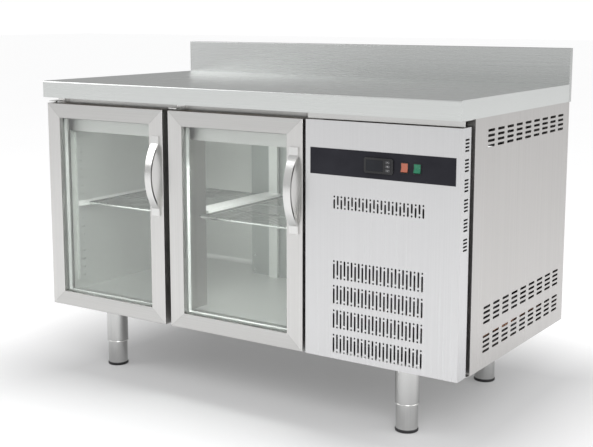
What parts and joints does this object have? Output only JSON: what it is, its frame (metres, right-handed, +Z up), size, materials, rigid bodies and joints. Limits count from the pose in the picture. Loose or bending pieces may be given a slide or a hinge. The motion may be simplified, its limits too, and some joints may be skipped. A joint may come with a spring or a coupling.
{
  "type": "undercounter refrigerator",
  "caption": "Free-standing stainless steel refrigerated counter with glazed hinged doors, a splashback and a louvred machine bay on levelling legs.",
  "frame": {"origin": "on the floor, under the middle of the whole object", "axes": "+X along the front from left to right as seen by the user, +Y from the front to the back, +Z up"},
  "size_m": [1.345, 0.724, 0.95],
  "materials": {
    "stainless_body": "brushed, scotch-brite grain",
    "stainless_front": "brushed, fine upright and level grain",
    "stainless_top": "brushed along the counter, satin",
    "stainless_liner": "smooth satin",
    "bright_steel": "polished satin",
    "fin_aluminium": "dull mill finish",
    "spacer_aluminium": "satin",
    "galvanised": "zinc coated",
    "glass": "clear double glazing, slightly green",
    "seal_rubber": "matt grey seal",
    "rubber": "matt",
    "foam": "rigid polyurethane foam",
    "board": "water-resistant particle board",
    "fascia_black": "satin black strip with no lettering",
    "black_plastic": "fine moulded grain",
    "display_glass": "smoked gloss window, blank",
    "key_plastic": "moulded",
    "orange_plastic": "translucent orange",
    "green_plastic": "translucent green",
    "fan_plastic": "moulded",
    "tray_plastic": "moulded",
    "lamp_diffuser": "frosted",
    "black_paint": "satin black enamel",
    "copper": "bare copper, slightly dulled"
  },
  "bodies": {
    "root": {"side_panel_left": "stainless_body", "side_panel_right": "stainless_body", "back_panel": "stainless_body", "base_panel": "stainless_body", "insulation_slabs": "foam", "liner_panels": "stainless_liner", "lintels": "stainless_body", "sill": "stainless_body", "mullion": "stainless_body", "divider_panel": "stainless_body", "worktop": "stainless_top", "worktop_core": "board", "splashback": "stainless_top", "rack_uprights": "stainless_liner", "shelf_runners": "bright_steel", "shelf_left": "bright_steel", "shelf_right": "bright_steel", "evaporator_housing": "stainless_liner", "evaporator_coil": "fin_aluminium", "evaporator_motor": "black_plastic", "interior_light": "lamp_diffuser", "service_panel": "stainless_front", "control_fascia": "fascia_black", "controller": "black_plastic", "display_window": "display_glass", "rocker_housings": "black_plastic", "electrical_box": "galvanised", "machine_tray": "galvanised", "compressor": "black_paint", "compressor_mounts": "rubber", "condenser_coil": "fin_aluminium", "fan_shroud": "black_paint", "condenser_motor": "black_paint", "copper_pipes": "copper", "evaporation_tray": "tray_plastic", "cable_gland": "black_plastic", "leg_sockets": "bright_steel", "hinge_brackets": "bright_steel", "screws": "bright_steel"},
    "door_left": {"door_frame_left": "stainless_front", "door_glass_left": "glass", "door_spacer_left": "spacer_aluminium", "door_seal_left": "seal_rubber", "door_handle_left": "bright_steel"},
    "door_right": {"door_frame_right": "stainless_front", "door_glass_right": "glass", "door_spacer_right": "spacer_aluminium", "door_seal_right": "seal_rubber", "door_handle_right": "bright_steel"},
    "power_rocker": {"power_rocker": "orange_plastic"},
    "light_rocker": {"light_rocker": "green_plastic"},
    "key_set": {"key_set": "key_plastic"},
    "key_up": {"key_up": "key_plastic"},
    "key_down": {"key_down": "key_plastic"},
    "condenser_fan": {"condenser_fan": "fan_plastic"},
    "evaporator_fan": {"evaporator_fan": "fan_plastic"},
    "foot_front_left": {"foot_front_left": "bright_steel"},
    "foot_front_right": {"foot_front_right": "bright_steel"},
    "foot_rear_left": {"foot_rear_left": "bright_steel"},
    "foot_rear_right": {"foot_rear_right": "bright_steel"}
  },
  "joints": [
    {"name": "door_left_hinge", "type": "hinge", "parent": "root", "child": "door_left", "pos_m": [-0.6595, -0.302, 0.483], "axis": [0, 0, -1], "range_deg": [0, 95], "stiffness_Nm_per_rad": 1.2},
    {"name": "door_right_hinge", "type": "hinge", "parent": "root", "child": "door_right", "pos_m": [-0.1995, -0.302, 0.483], "axis": [0, 0, -1], "range_deg": [0, 95], "stiffness_Nm_per_rad": 1.2},
    {"name": "power_rocker_pivot", "type": "hinge", "parent": "root", "child": "power_rocker", "pos_m": [0.522, -0.3242, 0.683], "axis": [1, 0, 0], "range_deg": [0, 16]},
    {"name": "light_rocker_pivot", "type": "hinge", "parent": "root", "child": "light_rocker", "pos_m": [0.556, -0.3242, 0.683], "axis": [1, 0, 0], "range_deg": [0, 16]},
    {"name": "key_set_press", "type": "slide", "parent": "root", "child": "key_set", "axis": [0, 1, 0], "range_m": [0, 0.0006], "stiffness_N_per_m": 300},
    {"name": "key_up_press", "type": "slide", "parent": "root", "child": "key_up", "axis": [0, 1, 0], "range_m": [0, 0.0006], "stiffness_N_per_m": 300},
    {"name": "key_down_press", "type": "slide", "parent": "root", "child": "key_down", "axis": [0, 1, 0], "range_m": [0, 0.0006], "stiffness_N_per_m": 300},
    {"name": "condenser_fan_spin", "type": "hinge", "parent": "root", "child": "condenser_fan", "pos_m": [0.4455, -0.158, 0.3345], "axis": [0, 1, 0], "continuous": true},
    {"name": "evaporator_fan_spin", "type": "hinge", "parent": "root", "child": "evaporator_fan", "pos_m": [-0.1795, 0.25975, 0.6805], "axis": [1, 0, 0], "continuous": true},
    {"name": "foot_front_left_screw", "type": "slide", "parent": "root", "child": "foot_front_left", "axis": [0, 0, -1], "range_m": [0, 0.03]},
    {"name": "foot_front_right_screw", "type": "slide", "parent": "root", "child": "foot_front_right", "axis": [0, 0, -1], "range_m": [0, 0.03]},
    {"name": "foot_rear_left_screw", "type": "slide", "parent": "root", "child": "foot_rear_left", "axis": [0, 0, -1], "range_m": [0, 0.03]},
    {"name": "foot_rear_right_screw", "type": "slide", "parent": "root", "child": "foot_rear_right", "axis": [0, 0, -1], "range_m": [0, 0.03]}
  ]
}
